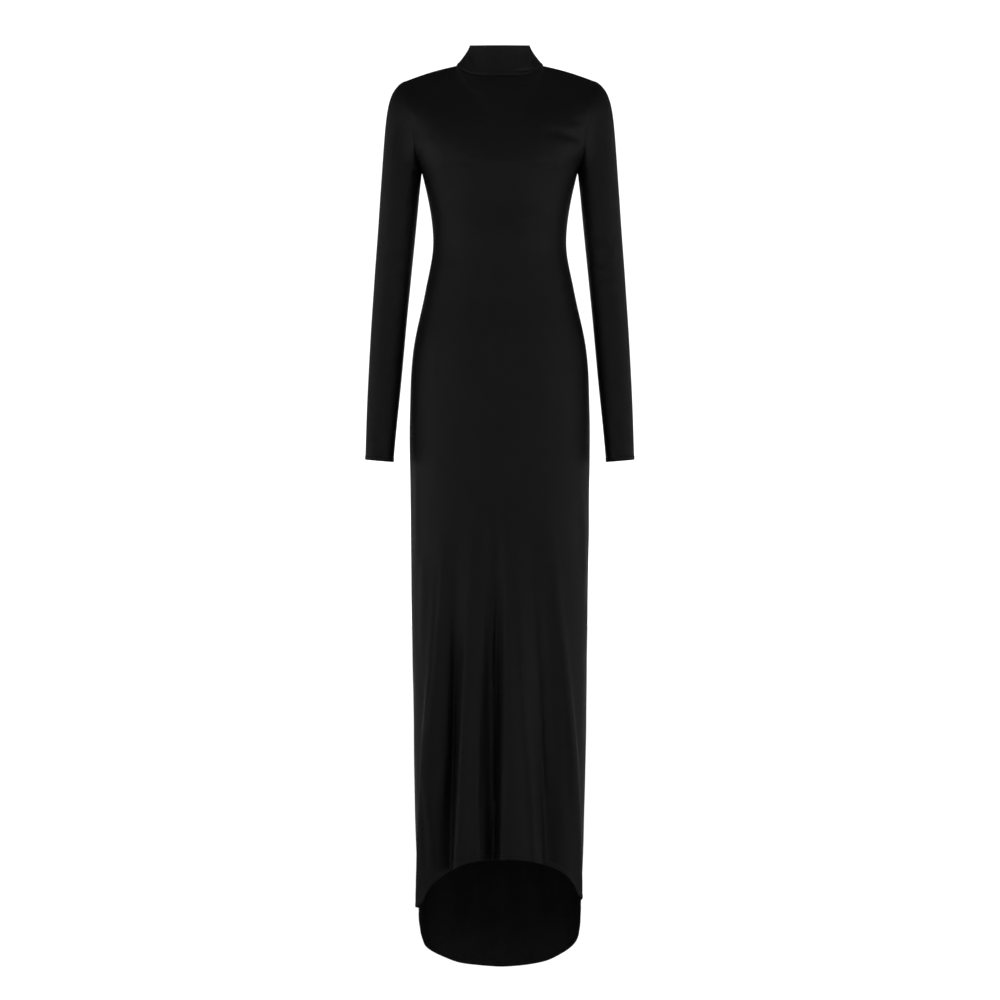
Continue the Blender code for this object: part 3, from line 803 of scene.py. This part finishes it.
def collar_grid():
    """The collar from its folded top edge down to the neck seam, with each point's place on the cloth."""
    rows = []
    for step in range(COLLAR_ROWS + 1):
        rise = 1 - step / COLLAR_ROWS
        spread = (1 - rise) ** COLLAR_FLARE
        row = []
        for panel in ("front", "back"):
            across = np.linspace(-1.0, 1.0, ACROSS // 2, endpoint=False) * -FACING[panel]
            angle = across * math.pi / 2
            depth = COLLAR_FRONT_DEPTH if panel == "front" else COLLAR_BACK_DEPTH
            top = np.stack([
                COLLAR_HALF_WIDTH * np.sin(angle),
                FACING[panel] * depth * np.cos(angle),
                COLLAR_HEIGHT + COLLAR_TILT * FACING[panel] * np.cos(angle),
            ], axis=1)
            base = neck_points(panel, across)
            points = top + (base - top) * spread
            points[:, 2] = top[:, 2] + (base[:, 2] + SEAM - top[:, 2]) * (1 - rise)
            row.append(points)
        rows.append(np.concatenate(row))
    grid = np.array(rows)
    facing = outward(grid, tube=True)
    around = tube_steps(grid)[1]
    push = COLLAR_PROUD + unevenness(grid, *COLLAR_SWELL)
    in_front = ease(-grid[:, :, 1] / COLLAR_FRONT_DEPTH * COLLAR_CREASE_FADE)
    push += in_front * crease_push(CREASES["collar"], grid[:, :, 0], -grid[:, :, 2])
    from_seam = edge_drop(grid[::-1])[::-1]
    push += COLLAR_ROLL * np.exp(-(((from_seam - COLLAR_ROLL_HEIGHT) / COLLAR_ROLL_REACH) ** 2))
    return grid + push[:, :, None] * facing, np.stack([around, -grid[:, :, 2]], axis=2)


def shell_faces(count, columns, turns):
    """The faces between a closed loop of rows, and across both side edges where it isn't a tube."""
    faces = []
    for row in range(count):
        below = (row + 1) % count
        for place in range(turns):
            beside = (place + 1) % columns
            faces.append((row * columns + place, below * columns + place,
                          below * columns + beside, row * columns + beside))
    if turns == columns:
        return faces
    end = columns - 1
    for row in range(count // 2):
        mirror = count - 1 - row
        below = row + 1
        if below >= mirror:
            break
        faces.append((row * columns, mirror * columns, (mirror - 1) * columns, below * columns))
        faces.append((row * columns + end, below * columns + end,
                      (mirror - 1) * columns + end, mirror * columns + end))
    return faces


def cloth_shell(name, outer, cloth, thickness, material, reverse, tube=False, facing=None):
    """A closed shell of cloth: outer face, rounded lower edge, inner face and plain upper edge.

    Thickness is one number for each row. The UV map holds each point's place on the cloth, in metres.
    """
    facing = outward(outer, tube) if facing is None else facing
    inner = outer - thickness[:, None, None] * facing
    middle = (outer[-1] + inner[-1]) / 2
    down = unit(outer[-1] - outer[-2])
    half = thickness[-1] / 2
    lip = []
    for turn in LIP_TURNS:
        angle = math.radians(turn)
        lip.append(middle + half * (math.cos(angle) * facing[-1] + math.sin(angle) * down))
    rows = list(outer) + lip + list(inner[::-1])
    places = list(cloth) + [cloth[-1]] * len(lip) + list(cloth[::-1])
    points = np.concatenate(rows)
    columns = outer.shape[1]
    count = len(rows)
    turns = columns if tube else columns - 1
    faces = shell_faces(count, columns, turns)
    mesh = bpy.data.meshes.new(name)
    mesh.from_pydata(points.tolist(), [], faces)
    mesh.update()
    layer = mesh.uv_layers.new(name="cloth")
    flat = np.concatenate(places)
    index = np.empty(len(mesh.loops), dtype=np.int32)
    mesh.loops.foreach_get("vertex_index", index)
    layer.data.foreach_set("uv", flat[index].astype(np.float32).ravel())
    mesh.shade_smooth()
    mesh.set_sharp_from_angle(angle=math.radians(SHARP_ANGLE))
    mesh.materials.append(material)
    mesh.materials.append(reverse)
    side = np.zeros(len(mesh.polygons), dtype=np.int32)
    side[(len(outer) + len(lip)) * turns:(count - 1) * turns] = 1
    mesh.polygons.foreach_set("material_index", side)
    obj = bpy.data.objects.new(name, mesh)
    bpy.context.scene.collection.objects.link(obj)
    return obj


def hem_thickness(rows):
    """Cloth thickness row by row: single, then the turned hem along the lower edge."""
    thickness = np.full(rows, CLOTH)
    for place, from_edge in enumerate(HEM_STEPS):
        if from_edge < HEM_TURN:
            thickness[rows - len(HEM_STEPS) + place] = HEM_CLOTH
    return thickness


def raise_hem(grid, facing):
    """Lifts the turned hem's outer face a little proud of the cloth above it."""
    for place, from_edge in enumerate(HEM_STEPS):
        if from_edge < HEM_TURN:
            row = len(grid) - len(HEM_STEPS) + place
            grid[row] += HEM_PROUD * facing[row]


def new_material(name, lustre):
    """A new material, its node tree and its shader."""
    material = bpy.data.materials.new(name)
    material.use_nodes = True
    shader = material.node_tree.nodes["Principled BSDF"]
    shader.inputs["Specular IOR Level"].default_value = lustre
    return material, material.node_tree, shader


def mapped(tree, value, spread, to_low=0.0, to_high=1.0, kind="LINEAR"):
    """A value's place in a spread, as a number from to_low to to_high."""
    node = tree.nodes.new("ShaderNodeMapRange")
    node.interpolation_type = kind
    numbers = {"From Min": spread[0], "From Max": spread[1], "To Min": to_low, "To Max": to_high}
    for name, number in numbers.items():
        node.inputs[name].default_value = number
    tree.links.new(value, node.inputs["Value"])
    return node.outputs["Result"]


def worked(tree, operation, *terms):
    """The result of a math node. Its terms are sockets or plain numbers."""
    node = tree.nodes.new("ShaderNodeMath")
    node.operation = operation
    for term, entry in zip(terms, node.inputs):
        if isinstance(term, float):
            entry.default_value = term
        else:
            tree.links.new(term, entry)
    return node.outputs["Value"]


def wave(tree, direction, scale, place):
    """A wave texture with bands across one direction."""
    node = tree.nodes.new("ShaderNodeTexWave")
    node.bands_direction = direction
    node.inputs["Scale"].default_value = scale
    tree.links.new(place, node.inputs["Vector"])
    return node


def grey(value):
    return (value, value, value, 1.0)


def jersey(name, dyed, lustre, swirl):
    """Soft black jersey: fine vertical wales and finer courses, a low lustre and faint uneven dye."""
    material, tree, shader = new_material(name, lustre)
    place = tree.nodes.new("ShaderNodeUVMap")
    place.uv_map = "cloth"
    bands = []
    for direction, fineness, waviness in KNIT:
        band = wave(tree, direction, fineness, place.outputs["UV"])
        band.inputs["Distortion"].default_value = waviness
        band.inputs["Detail"].default_value = 1.0
        bands.append(band.outputs["Fac"])
    bump = tree.nodes.new("ShaderNodeBump")
    bump.inputs["Strength"].default_value = KNIT_STRENGTH
    bump.inputs["Distance"].default_value = KNIT_HEIGHT
    tree.links.new(worked(tree, "MULTIPLY", *bands), bump.inputs["Height"])
    tree.links.new(bump.outputs["Normal"], shader.inputs["Normal"])
    position = tree.nodes.new("ShaderNodeTexCoord")
    dye = tree.nodes.new("ShaderNodeTexNoise")
    dye.inputs["Scale"].default_value = swirl
    dye.inputs["Detail"].default_value = DYE_DETAIL
    dye.inputs["Roughness"].default_value = DYE_ROUGHNESS
    tree.links.new(position.outputs["Object"], dye.inputs["Vector"])
    colour = tree.nodes.new("ShaderNodeValToRGB")
    for stop, (at, strength) in zip(colour.color_ramp.elements, DYE_STOPS):
        stop.position = at
        stop.color = (*[value * strength for value in dyed], 1.0)
    tree.links.new(dye.outputs["Fac"], colour.inputs["Fac"])
    tree.links.new(colour.outputs["Color"], shader.inputs["Base Color"])
    rough = mapped(tree, dye.outputs["Fac"], (0.0, 1.0), *JERSEY_ROUGHNESS)
    tree.links.new(rough, shader.inputs["Roughness"])
    return material


def thread(name):
    """Black sewing thread, a shade glossier than the cloth."""
    material, tree, shader = new_material(name, THREAD_LUSTRE)
    place = tree.nodes.new("ShaderNodeTexCoord")
    twist = wave(tree, "DIAGONAL", THREAD_TWIST, place.outputs["Object"]).outputs["Fac"]
    colour = tree.nodes.new("ShaderNodeValToRGB")
    for stop, shade in zip(colour.color_ramp.elements, THREAD_COLOURS):
        stop.color = shade
    tree.links.new(twist, colour.inputs["Fac"])
    tree.links.new(colour.outputs["Color"], shader.inputs["Base Color"])
    tree.links.new(mapped(tree, twist, (0.0, 1.0), *THREAD_ROUGHNESS), shader.inputs["Roughness"])
    return material


def stitch_tree(material):
    """A node group that lays one stitch after another along a path."""
    tree = bpy.data.node_groups.new("running_stitch", "GeometryNodeTree")
    tree.interface.new_socket("Path", in_out="INPUT", socket_type="NodeSocketGeometry")
    for name in ("Spacing", "Half length", "Half thickness"):
        tree.interface.new_socket(name, in_out="INPUT", socket_type="NodeSocketFloat")
    tree.interface.new_socket("Stitches", in_out="OUTPUT", socket_type="NodeSocketGeometry")
    entry = tree.nodes.new("NodeGroupInput")
    leave = tree.nodes.new("NodeGroupOutput")
    path = tree.nodes.new("GeometryNodeMeshToCurve")
    places = tree.nodes.new("GeometryNodeResampleCurve")
    places.mode = "LENGTH"
    tangent = tree.nodes.new("GeometryNodeInputTangent")
    turn = tree.nodes.new("FunctionNodeAlignRotationToVector")
    turn.axis = "Z"
    stitch = tree.nodes.new("GeometryNodeMeshUVSphere")
    stitch.inputs["Segments"].default_value = STITCH_SIDES
    stitch.inputs["Rings"].default_value = STITCH_RINGS
    stitch.inputs["Radius"].default_value = 1.0
    size = tree.nodes.new("ShaderNodeCombineXYZ")
    copies = tree.nodes.new("GeometryNodeInstanceOnPoints")
    real = tree.nodes.new("GeometryNodeRealizeInstances")
    dressed = tree.nodes.new("GeometryNodeSetMaterial")
    dressed.inputs["Material"].default_value = material
    links = (
        (entry, "Path", path, "Mesh"),
        (path, "Curve", places, "Curve"),
        (entry, "Spacing", places, "Length"),
        (tangent, "Tangent", turn, "Vector"),
        (entry, "Half thickness", size, "X"),
        (entry, "Half thickness", size, "Y"),
        (entry, "Half length", size, "Z"),
        (places, "Curve", copies, "Points"),
        (stitch, "Mesh", copies, "Instance"),
        (turn, "Rotation", copies, "Rotation"),
        (size, "Vector", copies, "Scale"),
        (copies, "Instances", real, "Geometry"),
        (real, "Geometry", dressed, "Geometry"),
        (dressed, "Geometry", leave, "Stitches"),
    )
    for source, given, target, taken in links:
        tree.links.new(source.outputs[given], target.inputs[taken])
    return tree


def stitch_row(name, points, closed, tree):
    """A row of stitches along a path on the cloth, as one mesh."""
    count = len(points)
    edges = [(place, (place + 1) % count) for place in range(count if closed else count - 1)]
    mesh = bpy.data.meshes.new(name)
    mesh.from_pydata(points.tolist(), edges, [])
    obj = bpy.data.objects.new(name, mesh)
    bpy.context.scene.collection.objects.link(obj)
    modifier = obj.modifiers.new("stitches", "NODES")
    modifier.node_group = tree
    sizes = {"Spacing": STITCH_SPACING, "Half length": STITCH_LENGTH / 2, "Half thickness": THREAD / 2}
    for socket in tree.interface.items_tree:
        if socket.name in sizes:
            modifier[socket.identifier] = sizes[socket.name]
    graph = bpy.context.evaluated_depsgraph_get()
    stitched = bpy.data.meshes.new_from_object(obj.evaluated_get(graph))
    obj.modifiers.clear()
    obj.data = stitched
    stitched.shade_smooth()
    return obj


def build_stitches(edges):
    """The hems' stitching, just above each turned edge."""
    tree = stitch_tree(thread("sewing_thread"))
    row = len(HEM_STEPS) - 1
    rows = []
    for name, (outer, facing, closed) in edges.items():
        path = outer[-row] + STITCH_PROUD * facing[-row]
        rows.append(stitch_row(name, path, closed, tree))
    return rows


def build_cloth():
    """The five cloth shells, each standing for its solid, and the hems' stitching."""
    body, sleeve, neck, inside = [jersey(name, *look) for name, look in JERSEYS.items()]
    plain, finished = finished_panels()
    shells = {}
    edges = {}
    for panel in ("front", "back"):
        outer, facing, cloth = finished[panel]
        shifted = outer + np.array([0.0, FACING[panel] * SEAM / 2, 0.0])
        raise_hem(shifted, facing)
        name = panel + "_cloth"
        thickness = hem_thickness(len(outer))
        shells[panel] = cloth_shell(name, shifted, cloth, thickness, body, inside, facing=facing)
        edges["hem_stitches_" + panel] = (shifted, facing, False)
    for wearer_side, flip in (("left", 1.0), ("right", -1.0)):
        outer, cloth = sleeve_grid(plain, finished, wearer_side)
        raise_hem(outer, outward(outer, tube=True))
        if flip < 0:
            outer = outer[:, ::-1] * np.array([flip, 1.0, 1.0])
            cloth = cloth[:, ::-1]
        name = "sleeve_cloth_" + wearer_side
        thickness = hem_thickness(len(outer))
        shells[wearer_side] = cloth_shell(name, outer, cloth, thickness, sleeve, inside, tube=True)
        edges["cuff_stitches_" + wearer_side] = (outer, outward(outer, tube=True), True)
    outer, cloth = collar_grid()
    thickness = np.full(len(outer), COLLAR_CLOTH)
    facing = outward(outer, tube=True)
    facing[-1, :, 2] = 0.0
    facing = unit(facing)
    shells["collar"] = cloth_shell("collar_cloth", outer, cloth, thickness, neck, neck, tube=True,
                                   facing=facing)
    return shells, build_stitches(edges)


def declare(shells, stitches):
    """Hides the frame's cloth pieces and attaches the shells and the stitching to the root body."""
    for row in stitches:
        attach(row, "root")
    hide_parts("front_panel")
    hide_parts("back_panel")
    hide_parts("sleeve_left")
    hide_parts("sleeve_right")
    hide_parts("collar")
    for key, slot in (("front", "body_jersey"), ("back", "body_jersey"), ("left", "sleeve_jersey"),
                      ("right", "sleeve_jersey"), ("collar", "collar_jersey")):
        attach(shells[key], "root")


def area_light(name, place, aim, size, energy):
    light = bpy.data.lights.new(name, "AREA")
    light.shape = "RECTANGLE"
    light.size, light.size_y = size
    light.energy = energy
    obj = bpy.data.objects.new(name, light)
    obj.location = place
    obj.rotation_euler = (Vector(aim) - Vector(place)).to_track_quat("-Z", "Y").to_euler()
    bpy.context.scene.collection.objects.link(obj)


def build_world():
    """The surround and the backdrop, lit by direction alone."""
    world = bpy.data.worlds.new("studio")
    bpy.context.scene.world = world
    world.use_nodes = True
    tree = world.node_tree
    background = tree.nodes["Background"]
    place = tree.nodes.new("ShaderNodeTexCoord")
    split = tree.nodes.new("ShaderNodeSeparateXYZ")
    tree.links.new(place.outputs["Generated"], split.inputs["Vector"])
    behind = split.outputs["Y"]
    shade = tree.nodes.new("ShaderNodeValToRGB")
    ramp = shade.color_ramp
    ramp.elements[0].color = grey(STUDIO_FRONT)
    for position, light in STUDIO_ROUND:
        ramp.elements.new(position).color = grey(light)
    ramp.elements[-1].position = STUDIO_BEHIND_START
    ramp.elements[-1].color = grey(STUDIO_BEHIND)
    tree.links.new(mapped(tree, behind, (-1.0, 1.0)), shade.inputs["Fac"])
    tree.links.new(shade.outputs["Color"], background.inputs["Color"])
    around = mapped(tree, split.outputs["Z"], (0.0, STUDIO_RISE), STUDIO_STRENGTH,
                    STUDIO_ABOVE * STUDIO_STRENGTH, "SMOOTHSTEP")
    backdrop = mapped(tree, behind, BACKDROP_EDGE, 0.0, BACKDROP_STRENGTH)
    tree.links.new(worked(tree, "MAXIMUM", around, backdrop), background.inputs["Strength"])


def build_floor():
    """Grey paper under the dress, which glows white where the camera sees it behind the dress."""
    level = CAD_BOX[0][2] - FLOOR_CLEARANCE
    corners = [(x * FLOOR_HALF, y * FLOOR_HALF, level) for x, y in ((-1, -1), (1, -1), (1, 1), (-1, 1))]
    mesh = bpy.data.meshes.new("floor")
    mesh.from_pydata(corners, [], [(0, 1, 2, 3)])
    floor = bpy.data.objects.new("floor", mesh)
    bpy.context.scene.collection.objects.link(floor)
    paper, tree, shader = new_material("white_paper", 0.0)
    shader.inputs["Base Color"].default_value = grey(FLOOR_GREY)
    shader.inputs["Roughness"].default_value = FLOOR_ROUGHNESS
    shader.inputs["Emission Color"].default_value = grey(1.0)
    place = tree.nodes.new("ShaderNodeTexCoord")
    split = tree.nodes.new("ShaderNodeSeparateXYZ")
    tree.links.new(place.outputs["Object"], split.inputs["Vector"])
    from_camera = worked(tree, "ADD", split.outputs["Y"], VIEW_DISTANCE)
    slant = worked(tree, "DIVIDE", worked(tree, "ABSOLUTE", split.outputs["X"]), from_camera)
    far = mapped(tree, split.outputs["Y"], FLOOR_BEHIND, kind="SMOOTHSTEP")
    wedge = mapped(tree, slant, FLOOR_SLANT, 1.0, 0.0, "SMOOTHSTEP")
    glow = mapped(tree, worked(tree, "MULTIPLY", far, wedge), (0.0, 1.0), FLOOR_GLOW)
    tree.links.new(glow, shader.inputs["Emission Strength"])
    mesh.materials.append(paper)


def build_studio():
    """The surround, the floor and a light box at each side."""
    build_world()
    build_floor()
    for name, (aside, energy) in SIDE_BOXES.items():
        area_light(name, (aside, *SIDE_BOX_PLACE), SIDE_BOX_AIM, SIDE_BOX_SIZE, energy)


def build_camera():
    """Square on to the front, at the middle of the photograph's height, with a long lens."""
    data = bpy.data.cameras.new("camera")
    data.lens = LENS
    data.sensor_width = SENSOR
    data.clip_end = VIEW_END
    camera = bpy.data.objects.new("camera", data)
    camera.location = (VIEW_ASIDE, -VIEW_DISTANCE, -VIEW_DROP)
    camera.rotation_euler = (math.pi / 2, 0.0, 0.0)
    bpy.context.scene.collection.objects.link(camera)
    bpy.context.scene.camera = camera
    bpy.context.scene.view_settings.view_transform = "Standard"


build_camera()
build_studio()
declare(*build_cloth())
